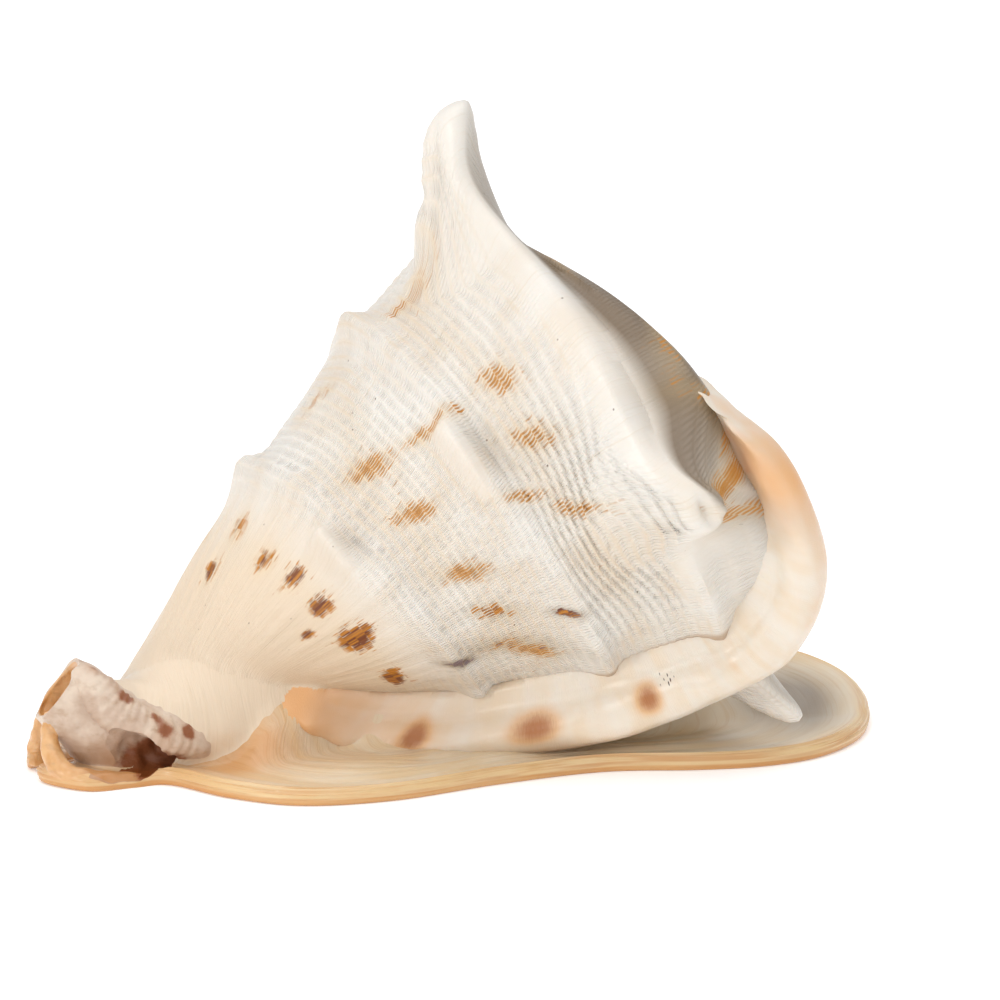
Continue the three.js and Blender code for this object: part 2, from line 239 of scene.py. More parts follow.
def whorl_point(turn, v):
    """Point of the whorl at a turn and a distance v from the keel, minus up the ramp.

    The lip profile at v, raised by the relief, is turned about the axis and shrunk by its age.
    Past the ramp's length v runs on to the next whorl up."""
    fine = fine_relief(turn, v)
    turn, v, rise, crown, foot_point = draw_horns(turn, v)
    whorl = np.where(v < 0, np.floor(-v / RAMP_LENGTH), 0)
    share = np.where(v < 0, -v / RAMP_LENGTH - whorl, 0)
    over = whorl >= SPIRE_WHORLS
    whorl, share = np.where(over, SPIRE_WHORLS - 1, whorl), np.where(over, 1, share)
    collar = easing(turn, *COLLAR_TURNS[:2]) * (1 - easing(turn, *COLLAR_TURNS[2:])) * (whorl == 0)
    plain = smooth([keel, *RAMP, next_keel], share)
    raised = smooth([keel, *COLLAR, next_keel], share)
    ramp = plain + (raised - plain) * collar[..., None]
    flank = np.stack([np.interp(v, flank_distance, column) for column in flank_table.T], -1)
    row = np.where((v >= 0)[..., None], flank, ramp)
    leaning = easing(turn, *KEEL_LEAN_TURNS[:2]) * (1 - easing(turn, *KEEL_LEAN_TURNS[2:]))
    leaning = leaning * (whorl == 0)
    row[..., 0] += KEEL_LEAN * leaning * np.exp(-(v / 12) ** 2)
    age = turn + 360 * whorl
    from_keel = np.where(v >= 0, v, -np.hypot(ramp[..., 0] - keel[0], ramp[..., 1] - keel[1]))
    lift = (relief(age, from_keel) * (1 - share)
            + share * relief(age + 360, 0 * share) * shrink(360)) + fine
    old_pause = sum(np.exp(-((age - OLD_LIP_TURN - 240 * k) / 6) ** 2) for k in (1, 2, 3))
    suture = np.exp(-((share - 0.9) / 0.055) ** 2) - 0.5 * np.exp(-((share - 0.72) / 0.1) ** 2)
    lift += (v < 0) * (3 * old_pause * np.sin(np.pi * share)
                       - 2.2 * suture * easing(whorl + share, 0.3, 0.6))
    size = shrink(age)
    point = about_axis(row[..., 0] * size, (row[..., 1] + lift) * size, LIP_ANGLE + age + row[..., 2])
    uneven = swell_waves(point[..., 0] + 0.4 * point[..., 2],
                         point[..., 1] - 0.4 * point[..., 2], 26, 22, 7)
    outward = point - APEX - axis * ((point - APEX) @ axis)[..., None]
    outward /= np.maximum(np.linalg.norm(outward, axis=-1, keepdims=True), 1)
    point = point + outward * (0.5 * uneven * size)[..., None]
    return point * (1 - crown) + foot_point + outward * crown * fine[..., None] + rise


def crowded(dense, count):
    """Places from 0 to 360 that crowd where the dense rows (from, to, weight) ask for it."""
    fine = np.linspace(0, 360, 3601)
    weight = np.ones_like(fine)
    for start, end, extra in dense:
        weight += extra * easing(fine, start - 6, start + 6) * (1 - easing(fine, end - 6, end + 6))
    total = np.concatenate([[0], np.cumsum((weight[1:] + weight[:-1]) / 2)])
    return np.interp(np.linspace(0, 1, count + 1)[:-1], total / total[-1], fine)


def mesh_piece(name, points, faces, growth, stain, finish):
    """Puts points in millimetres and faces into a new object, with growth places and stains kept
    at face corners. A face's number past the last point is that point again, on a seam's other
    side, with a growth place and stain of its own."""
    mesh = bpy.data.meshes.new(name)
    corners = np.array([n for face in faces for n in face])
    count = len(points)
    mesh.from_pydata(((points + PLACE) * MM).tolist(), [], [[n % count for n in face] for face in faces])
    for label, values in (("growth", growth), ("stain", stain)):
        layer = mesh.attributes.new(label, "FLOAT_VECTOR", "CORNER")
        layer.data.foreach_set("vector", np.asarray(values, np.float32)[corners].ravel())
    mesh.materials.append(finish)
    piece = bpy.data.objects.new(name, mesh)
    bpy.context.scene.collection.objects.link(piece)
    return piece


STUDIO_DEPTH = 0.76  # colours are this much deeper, as the studio is bright


def ink(code):
    """Colour from six hex digits, made linear and deeper."""
    value = np.array([int(code[k:k + 2], 16) for k in (0, 2, 4)]) / 255
    linear = np.where(value <= 0.04045, value / 12.92, ((value + 0.055) / 1.055) ** 2.4)
    return (*(STUDIO_DEPTH * linear).tolist(), 1.0)


def add(tree, kind, settings=None, inputs=None):
    """Adds a shader node, sets it, fills or links its inputs, and gives its first output."""
    made = tree.nodes.new("ShaderNode" + kind)
    for name, value in (settings or {}).items():
        setattr(made, name, value)
    for key, value in (inputs or {}).items():
        if isinstance(value, bpy.types.NodeSocket):
            tree.links.new(value, made.inputs[key])
        else:
            made.inputs[key].default_value = value
    return made.outputs[0]


def calc(tree, operation, *values):
    """One Math node."""
    return add(tree, "Math", {"operation": operation}, dict(enumerate(values)))


def times(tree, first, second):
    """Product of two numbers or sockets."""
    return calc(tree, "MULTIPLY", first, second)


def blend(tree, share, first, second):
    """Mix of two colours by a share."""
    mixed = add(tree, "Mix", {"data_type": "RGBA"}, {0: share, 6: first, 7: second})
    return mixed.node.outputs[2]


def tint(tree, colour, share, code, amount=None):
    """A colour with an ink laid over it by a share, times an amount if given."""
    if amount is not None:
        share = times(tree, share, amount)
    return blend(tree, share, colour, ink(code))


def band(tree, value, start, end):
    """0 to 1 as a value goes from start to end, eased."""
    return add(tree, "MapRange", {"interpolation_type": "SMOOTHSTEP"},
               {"Value": value, "From Min": start, "From Max": end})


def mottle(tree, x, y, z, detail=3.0, rough=0.55):
    """Noise read at a place given by three numbers or sockets."""
    place = add(tree, "CombineXYZ", None, {0: x, 1: y, 2: z})
    return add(tree, "TexNoise", None,
               {"Vector": place, "Scale": 1.0, "Detail": detail, "Roughness": rough})


def scaled_mottle(tree, x, y, z, detail):
    """The same noise, each number given as a socket and what it is multiplied by."""
    return mottle(tree, *(times(tree, *pair) for pair in (x, y, z)), detail)


def places(tree, label):
    """Three numbers of an attribute kept at the face corners."""
    vector = add(tree, "Attribute", {"attribute_name": label}).node.outputs["Vector"]
    return add(tree, "SeparateXYZ", None, {0: vector}).node.outputs


def new_finish(name, roughness, coat, skin=0.12):
    """Shell material: a Principled shader with a little light passing under its surface."""
    finish = bpy.data.materials.new(name)
    finish.use_nodes = True
    tree = finish.node_tree
    shader = tree.nodes["Principled BSDF"]
    shader.inputs["Roughness"].default_value = roughness
    shader.inputs["Coat Weight"].default_value = coat
    shader.inputs["Coat Roughness"].default_value = 0.25
    shader.inputs["Subsurface Weight"].default_value = skin
    shader.inputs["Subsurface Radius"].default_value = (1.0, 0.6, 0.4)
    shader.inputs["Subsurface Scale"].default_value = 1.0 * MM
    return finish, tree, shader


def raise_bump(tree, shader, height, depth, under=None):
    """Bump of a depth in metres from a height between 0 and 1, over another bump if given."""
    inputs = {"Height": height, "Distance": depth, "Strength": 1.0}
    if under is not None:
        inputs["Normal"] = under
    bumped = add(tree, "Bump", None, inputs)
    tree.links.new(bumped, shader.inputs["Normal"])
    return bumped


def whorl_finish():
    """Weathered ivory: growth lamellae broken at each cord and worn off the fingers, furrows tinted tan
    as painted shade, golden and brown broken marks, lilac bruises, grey that is partly painted shade on
    the ramp and in the hollows, pits and a tan hem by the old lip."""
    finish, tree, shader = new_finish("weathered_ivory", 0.5, 0.08)
    turn, v, cord_v = places(tree, "growth")
    dark, tan, lilac = places(tree, "stain")
    wander = mottle(tree, calc(tree, "DIVIDE", turn, 9.0), calc(tree, "DIVIDE", v, 12.0), 0.0)
    cord = calc(tree, "DIVIDE", cord_v, CORD_PITCH)
    index = calc(tree, "FLOOR", cord)
    over = calc(tree, "ABSOLUTE", calc(tree, "SUBTRACT", calc(tree, "FRACT", cord), 0.5))
    phase = add(tree, "TexWhiteNoise", {"noise_dimensions": "1D"}, {"W": index})
    beat = calc(tree, "MULTIPLY_ADD", wander, 2.2, calc(tree, "MULTIPLY_ADD", turn, 1.05, phase))
    wave = calc(tree, "SINE", times(tree, beat, 6.2832))
    lamella = calc(tree, "MULTIPLY_ADD", wave, 0.5, 0.5)
    on_cord = calc(tree, "SUBTRACT", 1.0, calc(tree, "POWER", times(tree, over, 2.0), 2.5))
    ribbed = times(tree, lamella, on_cord)
    corded = times(tree, band(tree, v, 3.0, 12.0), band(tree, v, 116.0, 98.0))
    spire = times(tree, band(tree, v, -3.0, -9.0), band(tree, v, -95.0, -38.0))
    corded = calc(tree, "MAXIMUM", corded, times(tree, spire, 0.6))
    corded = calc(tree, "MAXIMUM", corded, times(tree, band(tree, turn, 236.0, 250.0), 0.7))
    for at, place, _, _, _, half in FINGERS:
        along = calc(tree, "DIVIDE", calc(tree, "SUBTRACT", turn, at + 7), 13.0)
        aside = calc(tree, "DIVIDE", calc(tree, "SUBTRACT", v, place), half)
        away = calc(tree, "MULTIPLY_ADD", along, along, times(tree, aside, aside))
        corded = times(tree, corded, band(tree, away, 0.5, 1.6))
    streaks = mottle(tree, times(tree, turn, 1.6), calc(tree, "DIVIDE", v, 26.0), 5.0, 4.0)
    stroke = mottle(tree, times(tree, turn, 0.55), times(tree, index, 5.7), 9.0, 2.0, 0.6)
    patch = mottle(tree, calc(tree, "DIVIDE", turn, 4.0), calc(tree, "DIVIDE", v, 5.0), 5.0, 1.5)
    broad = mottle(tree, calc(tree, "DIVIDE", turn, 22.0), calc(tree, "DIVIDE", v, 26.0), 2.0, 2.0)
    colour = blend(tree, band(tree, broad, 0.35, 0.7), ink("fcf6ec"), ink("f8ecdc"))
    colour = tint(tree, colour, band(tree, v, 96.0, 140.0), "f8e2c6")
    # painted shade: the furrows between the cords are tinted tan, as if the cords shaded them
    painted_furrow_shade = times(tree, band(tree, over, 0.2, 0.5), corded)
    furrow = times(tree, painted_furrow_shade, band(tree, broad, 0.4, 0.62))
    colour = tint(tree, colour, furrow, "e8ceaa", 0.4)
    colour = tint(tree, colour, band(tree, streaks, 0.52, 0.75), "ead3b2", 0.3)
    # the grey-lilac stain is partly the ramp's own grey and partly painted shade on the ramp between the
    # horns and in the hollows beside the fingers
    colour = tint(tree, colour, lilac, "88755f", 0.88)
    broken = calc(tree, "MULTIPLY_ADD", stroke, 1.7, times(tree, patch, 1.1))
    broken = calc(tree, "SUBTRACT", broken, times(tree, band(tree, over, 0.4, 0.5), 0.15))
    gapped = calc(tree, "SUBTRACT", broken, times(tree, band(tree, lamella, 0.35, 0.8), 0.5))
    tanned = band(tree, calc(tree, "MULTIPLY_ADD", tan, 1.1, gapped), 1.8, 2.45)
    colour = tint(tree, colour, tan, "f2d29c", 0.42)
    colour = tint(tree, colour, tanned, "cf8614", 0.9)
    on_flank = times(tree, lilac, band(tree, v, 0.0, 8.0))
    bruise = calc(tree, "MULTIPLY_ADD", on_flank, 0.9, broken)
    bruise = calc(tree, "MULTIPLY_ADD", dark, 0.4, bruise)
    colour = tint(tree, colour, band(tree, bruise, 2.05, 2.25), "7d6470", 0.75)
    browned = calc(tree, "MULTIPLY_ADD", calc(tree, "SUBTRACT", gapped, broken), 0.5, broken)
    browned = band(tree, calc(tree, "MULTIPLY_ADD", dark, 1.25, browned), 1.9, 2.2)
    rich = blend(tree, band(tree, stroke, 0.42, 0.6), ink("7a3806"), ink("cf8420"))
    colour = blend(tree, browned, colour, rich)
    pits = add(tree, "TexVoronoi", {"feature": "F1"}, {"Vector": add(tree, "CombineXYZ", None, {
        0: calc(tree, "DIVIDE", turn, 4.0), 1: calc(tree, "DIVIDE", v, 5.0)}), "Scale": 1.0})
    pitted = times(tree, band(tree, pits, 0.085, 0.05), band(tree, patch, 0.55, 0.62))
    colour = tint(tree, colour, pitted, "6a4a36", 0.8)
    hem = times(tree, band(tree, turn, 264.0, 266.5), band(tree, turn, 270.0, 268.0))
    hem = times(tree, hem, band(tree, v, -34.0, -28.0))
    colour = tint(tree, colour, hem, "b98850", 0.6)
    tree.links.new(colour, shader.inputs["Base Color"])
    fine = raise_bump(tree, shader, times(tree, ribbed, corded), 0.24 * MM)
    raise_bump(tree, shader, streaks, 0.25 * MM, fine)
    tree.links.new(calc(tree, "MULTIPLY_ADD", broad, 0.25, 0.26), shader.inputs["Roughness"])
    return finish


# Stains: turn, distance from the keel, half turn, half width, brown, tan, grey-lilac
STAINS = [
    (203, 125, 8, 6, 1.3, 0.5, 0), (236, 125, 10, 4, 1.2, 0.5, 0), (180, 126, 6, 4.5, 1.1, 0.6, 0),
    (162, 125, 5, 5, 1, 0.7, 0), (187, 138, 4, 3, 0.9, 0.3, 0), (145, 127, 5, 4, 0.9, 0.8, 0),
    (116, 137, 5, 4, 1, 0.5, 0), (120, 121, 5, 5, 0.7, 0.9, 0), (160, 81, 7, 5, 0.3, 1, 0),
    (170, 59, 5, 5, 0.1, 1, 0), (173, 47, 5, 3, 0.5, 0.8, 0), (178, 26, 8, 4, 0, 0.9, 0),
    (182, 79, 6, 5, 0.1, 0.9, 0), (207, 77, 6, 6, 0.4, 0.9, 0.3), (224, 76, 6, 5, 0.75, 0.6, 0.4),
    (236, 52, 3, 3, 0.9, 0.2, 1), (249, 68, 5, 4, 0.2, 0.9, 0.2), (236, 99, 4.5, 3.5, 0.1, 0.3, 1.2),
    # the grey-lilac rows at (188, 43) and (174, 101) are painted shade in the hollows beside the fingers
    (188, 43, 12, 2.6, 0, 0, 0.25), (174, 101, 10, 2.4, 0, 0, 0.25), (202, 44, 4, 5, 0.1, 0.9, 0),
    (194, 28, 6, 6, 0, 0.7, 0), (214, 29, 4, 5, 0, 0.8, 0),
    (122, 72, 8, 5, 0, 0.6, 0), (136, 33, 8, 5, 0, 0.6, 0), (240, 78, 8, 12, 0, 0.5, 0.5),
    (221, -31, 5, 6, 0.2, 1, 0.4), (234, -10, 4, 5, 0.1, 0.9, 0.3), (243, -22, 6, 6, 0, 0.7, 0.5),
    (228, -24, 5, 7, 0.3, 1, 0.2), (209, -17, 5, 6, 0, 0.7, 0.3), (224, 0, 3.5, 5, 0, 0.45, 0),
]
NECK_START = 112  # distance from the keel where the flank narrows into the neck


def whorl_stain(turn, v):
    """Sum of the stains' bells, capped; the ramp is greyer all over and darker still between the horns,
    as painted shade, with tan strokes.

    On the flank the marks run in rows along the growth lines; on the neck they are rounder."""
    draw = np.random.default_rng(11)
    far_side = [(at + draw.uniform(-4, 4), place + draw.uniform(-5, 5), draw.uniform(3, 8),
                 draw.uniform(3, 6), brown * draw.uniform(0.3, 1), draw.uniform(0.4, 1), 0)
                for place, brown in ((127, 1), (78, 0.5), (28, 0.2)) for at in range(6, 104, 14)]
    total = np.zeros(turn.shape + (3,))
    for place, half, amount in ((125, 7, 0.2), (78, 10, 0.3), (28, 12, 0.2)):
        total[..., 1] += amount * np.exp(-((v - place) / half) ** 2) * easing(turn, 100, 140)
    for at, place, half_turn, half, *amounts in STAINS + far_side:
        slant, round_share, long_share = (0, 1, 1.3) if place > NECK_START else (0.45, 0.62, 1.8)
        bell = hump(turn + slant * (v - place), v, at, place, round_share * half_turn, long_share * half)
        total += bell[..., None] * np.array(amounts)
    # painted shade: between the horns the ramp gets extra grey-taupe, as if in shadow; the rest of its
    # grey is its own colour
    painted_ramp_shade = easing(turn, 135, 160) * (1 - easing(turn, 210, 236)) * (1 - easing(-v, 34, 46))
    clouded = 0.15 * np.sin(np.radians(turn * 7 + 8 * v))
    total[..., 2] += easing(-v, 2.5, 6) * (0.22 + 0.95 * painted_ramp_shade + clouded)
    total[..., 1] += easing(-v, 4, 14) * np.clip(np.sin(np.radians(turn * 11 - 7 * v)), 0, 1) * 0.7
    return np.clip(total, 0, 1.2)


def whorl_grid():
    """Grid of turns by distances from the keel, closed into one skin.

    The last column joins the first one whorl up, which makes the spiral; the neck and the apex
    end in fans, and the youngest part of the flank closes on the present lip."""
    flank_rows, ramp_rows = 170, 28
    turns = crowded([(96, 272, 1.6), (126, 150, 0.8), (214, 234, 0.6), (281, 297, 2)], 260)
    along = np.concatenate([np.linspace(flank_distance[-1], 0, flank_rows + 1),
                            -RAMP_LENGTH / ramp_rows * np.arange(1, SPIRE_WHORLS * ramp_rows + 1)])
    turn, v = np.meshgrid(turns, along, indexing="ij")
    points = whorl_point(turn, v)
    columns, rows = turn.shape
    neck = about_axis(np.array(FLANK[0][0] * 0.9 - 12), np.array(0.0), np.array(0.0))
    # the last row of every column is one whorl short of the apex, so the fan ends there
    tip, top = columns * rows, columns * rows + 1
    growth = np.stack([turn, v, cord_place(turn, v)], -1).reshape(-1, 3)
    stain = whorl_stain(turn, v).reshape(-1, 3)
    points = np.vstack([points.reshape(-1, 3), neck, APEX])
    seam = np.stack([0 * along + 360, along + RAMP_LENGTH, along + RAMP_LENGTH], -1)
    growth = np.vstack([growth, [0, flank_distance[-1], 0], [0, along[-1], 0], seam])
    stain = np.vstack([stain, np.zeros((2, 3)), whorl_stain(seam[:, 0], seam[:, 1])])
    i, j = np.meshgrid(np.arange(columns - 1), np.arange(rows - 1), indexing="ij")
    here, ahead = i * rows + j, (i + 1) * rows + j
    faces = np.stack([here, ahead, ahead + 1, here + 1], -1).reshape(-1, 4).tolist()
    last, again = (columns - 1) * rows, len(points)
    j = np.arange(flank_rows, rows - 1 - ramp_rows)
    up = again + j + ramp_rows
    faces += np.stack([last + j, up, up + 1, last + j + 1], -1).tolist()
    j = np.arange(flank_rows)
    faces += np.stack([last + j, j, j + 1, last + j + 1], -1).tolist()
    j = np.arange(flank_rows, flank_rows + ramp_rows)
    faces += np.stack([last + flank_rows + 0 * j, j, j + 1], -1).tolist()
    roots = np.arange(columns) * rows
    faces += np.stack([0 * roots + tip, np.roll(roots, -1), roots], -1).tolist()
    ends = roots[:-1] + rows - 1
    faces += np.stack([ends, ends + rows, 0 * ends + top], -1).tolist()
    j = np.arange(rows - 1 - ramp_rows, rows - 1)
    faces += np.stack([last + j + 1, last + j, 0 * j + top], -1).tolist()
    faces += [[last + rows - 1 - ramp_rows, again + rows - 1, top]]
    return points, faces, growth, stain


ivory = whorl_finish()
whorls = mesh_piece("whorls", *whorl_grid(), ivory)

# ---- Old lip ---------------------------------------------------------------------------
# Three quarters of a turn ago the snail paused and rolled its lip outward into a thick glossy
# porcelain strip. The whorl then grew on from beneath it. Peach, orange at its ends, brown spots.
OLD_LIP_SWELL = 8.5
LIP_END_SHIFT = np.array([-2.8, -11.4, 1.6])  # brings the strip's front end out onto the neck
LIP_INNER = [
    [-108, 10], [-95, 21], [-79, 33], [-61, 42], [-43, 49], [-11, 55], [14, 59], [36, 60], [55, 61],
    [68, 62], [80, 56], [94, 46], [101, 30], [104, 8], [106, -14], [105, -34],
    [99, -50],
]
LIP_OUTER = [
    [-110, 14], [-106, 32], [-98, 45], [-84, 57], [-58, 68], [-20, 78], [10, 84], [36, 85], [57, 84],
    [76, 82], [90, 78], [108, 64], [120, 44], [124, 16], [122, -6], [113, -24],
    [103, -42],
]
LIP_END = 0.973  # where the strip sinks into the spire
LIP_END_KNOBS = [(0.957, 2.4, 0.014), (0.915, 1.2, 0.01)]  # station, height, half width
OLD_LIP_SPOTS = [  # station, share of the way across, half width, amount
    (0.205, 0.33, 0.016, 1.1), (0.31, 0.4, 0.018, 1), (0.424, 0.4, 0.013, 1), (0.55, 0.4, 0.01, 0.25),
]
ROLL = [  # share of the way from the inner to the outer edge, share of the swell
    [-0.35, 0.1], [0.05, 0.35], [0.3, 0.8], [0.55, 1], [0.8, 0.85], [0.96, 0.4], [1, -0.1],
    [0.93, -0.5], [0.7, -0.8], [0.3, -1.1], [-0.35, -1.2],
]


def older(point, turn):
    """Where a point was a turn ago: turned about the axis and shrunk towards the apex."""
    spin = np.array(Matrix.Rotation(np.radians(turn), 3, Vector(axis)))
    return (point - APEX) @ spin.T * shrink(turn) + APEX


def tube_faces(rings, sides):
    """Faces of a closed skin over rings of sides, with a fan over each end."""
    i, j = np.meshgrid(np.arange(rings - 1), np.arange(sides), indexing="ij")
    k = (j + 1) % sides
    a, b = i * sides, (i + 1) * sides
    faces = np.stack([a + j, a + k, b + k, b + j], -1).reshape(-1, 4).tolist()
    j = np.arange(sides)
    k = (j + 1) % sides
    first, end = rings * sides, (rings - 1) * sides
    faces += np.stack([0 * j + first, k, j], -1).tolist()
    faces += np.stack([0 * j + first + 1, end + j, end + k], -1).tolist()
    return faces


def with_ends(rings):
    """Points of rings in one list, then the middle of the first ring and of the last."""
    return np.vstack([rings.reshape(-1, 3), rings[0].mean(0), rings[-1].mean(0)])


def lip_finish():
    """Porcelain: peach white, warmer to its edges, soft spots, faint lines along it."""
    finish, tree, shader = new_finish("peach_porcelain", 0.3, 0.35, 0.2)
    station, _, edge = places(tree, "growth")
    dark, tan, lilac = places(tree, "stain")
    drift = mottle(tree, times(tree, station, 30.0), edge, 0.0, 2.0)
    colour = blend(tree, band(tree, drift, 0.3, 0.7), ink("fff4e4"), ink("fde8cc"))
    colour = tint(tree, colour, tan, "ffc283")
    grain = mottle(tree, times(tree, station, 900.0), times(tree, edge, 8.0), 1.0, 3.0)
    colour = tint(tree, colour, band(tree, dark, 0.05, 0.5), "f5b35e", 0.6)
    spot = band(tree, calc(tree, "MULTIPLY_ADD", grain, 0.3, dark), 0.45, 1.1)
    colour = tint(tree, colour, spot, "b56414", 0.85)
    pits = add(tree, "TexVoronoi", {"feature": "F1"}, {"Vector": add(tree, "CombineXYZ", None, {
        0: times(tree, station, 330.0), 1: times(tree, edge, 5.0)}), "Scale": 1.0})
    pitted = times(tree, band(tree, pits, 0.34, 0.2), band(tree, lilac, 0.3, 0.5))
    colour = tint(tree, colour, pitted, "4a2c1a")
    tree.links.new(colour, shader.inputs["Base Color"])
    raise_bump(tree, shader, grain, 0.1 * MM)
    return finish


def old_lip():
    """Rolled strip: stations along both lip edges by a closed section that bulges out of the lip."""
    stations, sides = 230, 30
    t = np.linspace(0, LIP_END, stations)[:, None]
    section = smooth(ROLL, np.arange(sides)[None, :] / sides + 0 * t, closed=True)
    share, swell = np.moveaxis(section, -1, 0)
    near, far = smooth(LIP_INNER, t + 0 * share), smooth(LIP_OUTER, t + 0 * share)
    ended = np.clip(t / 0.075, 0, 1) * np.clip((LIP_END - t) / 0.024, 0, 1)
    rounding = np.sqrt(np.clip(1 - (1 - ended) ** 2, 0.02, 1))
    uneven = 0.1 * swell_waves(t, share, 0.08, 0.8, 31) * (t > 0)
    kept = 0.1 + 0.5 * easing(t, 0.4, 0.6)
    point = near + (far - near) * (kept + (share - kept) * rounding)[..., None]
    fuller = OLD_LIP_SWELL + 5 * (1 - easing(t, 0.3, 0.6))
    fuller = fuller + 1.5 * easing(t, 0.68, 0.82) * (1 - easing(t, 0.86, 0.95))
    for at, knob, half in LIP_END_KNOBS:
        fuller = fuller + knob * np.exp(-((t - at) / half) ** 2)
    height = -swell * fuller * rounding * (1 + uneven)
    point = np.concatenate([point, height[..., None]], -1)
    rings = older(point, OLD_LIP_TURN)
    rings = rings + LIP_END_SHIFT * (1 - easing(t, 0.03, 0.15))[..., None]
    station = t + 0 * share
    dark = sum(amount * hump(station, share, at, place, 1.15 * half, 0.24)
               for at, place, half, amount in OLD_LIP_SPOTS)
    tan = (1.1 * np.exp(-(station / 0.13) ** 2) + 0.9 * hump(station, share, 0.84, 0.6, 0.05, 0.7)
           + 0.45 * easing(share, 0.6, 1) * (1 - easing(station, 0.3, 0.45))
           + 0.3 * easing(share, 0.75, 1) * easing(station, 0.6, 0.7)
           + 0.2 * hump(station, share, 0.2, 0.4, 0.05, 0.5)
           + 0.4 * hump(station, share, 0.9, 0.4, 0.03, 0.5))
    lilac = hump(station, share, 0.452, 0.2, 0.012, 0.14)
    stain = np.stack([np.clip(dark, 0, 1), np.clip(tan, 0, 1), lilac], -1).reshape(-1, 3)
    growth = np.stack([station, share, swell], -1).reshape(-1, 3)
    growth, stain = (np.vstack([values, values[0], values[-1]]) for values in (growth, stain))
    return with_ends(rings), tube_faces(stations, sides), growth, stain


old_lip_piece = mesh_piece("old_lip", *old_lip(), lip_finish())

# ---- Siphonal canal --------------------------------------------------------------------
# At its front the shell folds into a short tube, bent up and forward. The ridge beside it is the
# stack of its older edges. Its outside is grey-lilac and crumpled, its inside orange and glossy.
CANAL = ([[-60, 8, 16], [-82, 2, 12], [-98, -5, 13], [-112.6, -3.5, 24.5]], [10, 13, 13.2, 10])
CANAL_BORE = ([[-84, 2, 6], [-97, -2, 10], [-108, -3.2, 19.5], [-122, -1.5, 32]], [4.5, 5.5, 7.6, 9.4])
NECK = ([[-103, -5, 19], [-88, -4, 13], [-70, -1, 12], [-50, 4, 14], [-30, 8, 17]],
        [8, 16, 19.5, 19.5, 15])
FASCIOLE = ([[-108, -8, 30], [-104, -12.5, 25], [-98, -16, 18.5], [-89, -18.5, 14], [-79, -18.5, 10],
             [-70, -17, 7]], [3.2, 5.4, 6, 5.6, 4.2, 1.6])
UMBILICUS = ([[-112, -38, 12], [-102, -26, 10], [-92, -19, 7.6], [-80, -14, 5.6]], [9.5, 7.8, 5.8, 2.6])
SPOUT_RIM = ([[-115.4, -6, 18], [-116.4, -10, 12], [-116, -15, 6.4], [-112.4, -20.4, 3.6],
              [-104, -23.6, 2.9], [-94, -22.6, 2.4]], [1.4, 2.4, 3, 2.8, 2.2, 1.2])
FAR_FLAP = ([[-116.4, 7.4, 2.8], [-115.4, 6, 8], [-113.4, 3.6, 15], [-110, 1, 20]], [2.6, 3, 2.8, 2])


def bar(path, radii, rings=90, sides=44, crumple=0.0, ribs=0.0, seed=1):
    """Round bar along a smooth path: at each station a circle across the path, its radius read
    from a smooth list and uneven by the crumple."""
    t = np.linspace(0, 1, rings)
    middle = smooth(path, t)
    ahead = np.gradient(middle, axis=0)
    ahead /= np.linalg.norm(ahead, axis=1, keepdims=True)
    reach = np.subtract(path[-1], path[0])
    upright = axis if abs(reach[1]) > 0.7 * np.linalg.norm(reach) else across
    side = np.cross(ahead, upright)
    side /= np.linalg.norm(side, axis=1, keepdims=True)
    top = np.cross(side, ahead)
    radius = np.maximum(smooth(np.array(radii, float)[:, None], t)[:, 0], 0.2)[:, None]
    angle = -2 * np.pi * np.arange(sides) / sides
    radius = radius + ribs * np.sin(t[:, None] * 130 + 3 * np.sin(angle)) * easing(t, 0.05, 0.3)[:, None]
    radius = radius + crumple * (swell_waves(t[:, None], np.cos(angle)[None], 0.16, 1.1, seed)
                                 + swell_waves(t[:, None], np.sin(angle)[None], 0.2, 1.3, seed + 1))
    return (middle[:, None] + side[:, None] * (radius * np.cos(angle))[..., None]
            + top[:, None] * (radius * np.sin(angle))[..., None])


def spots_at(points, spots):
    """Sum of round bells at listed points, each with its radius and its three amounts."""
    total = np.zeros(points.shape)
    for *place, radius, brown, tan, lilac in spots:
        bell = np.exp(-(((points - place) ** 2).sum(-1)) / radius ** 2)
        total += bell[..., None] * np.array([brown, tan, lilac])
    return np.clip(total, 0, 1)


def canal_finish(name, outside, streak, roughness, coat):
    """Crumpled shell: streaks along the growth lines, spots, and a rough or glossy face."""
    finish, tree, shader = new_finish(name, roughness, coat)
    place = add(tree, "TexCoord").node.outputs["Object"]
    x, y, z = add(tree, "SeparateXYZ", None, {0: place}).node.outputs
    dark, tan, _ = places(tree, "stain")
    broad = scaled_mottle(tree, (x, 120.0), (y, 120.0), (z, 120.0), 3.0)
    fibre = scaled_mottle(tree, (x, 300.0), (y, 90.0), (z, 420.0), 4.0)
    colour = blend(tree, band(tree, broad, 0.35, 0.65), outside, streak)
    colour = tint(tree, colour, band(tree, fibre, 0.5, 0.8), "b08a63", 0.45)
    colour = tint(tree, colour, tan, "c98a50", 0.8)
    spot = band(tree, calc(tree, "MULTIPLY_ADD", fibre, 0.7, dark), 0.75, 1.15)
    colour = tint(tree, colour, spot, "93480a", 0.9)
    tree.links.new(colour, shader.inputs["Base Color"])
    fine = raise_bump(tree, shader, fibre, 0.4 * MM)
    raise_bump(tree, shader, broad, 0.3 * MM, fine)
    return finish


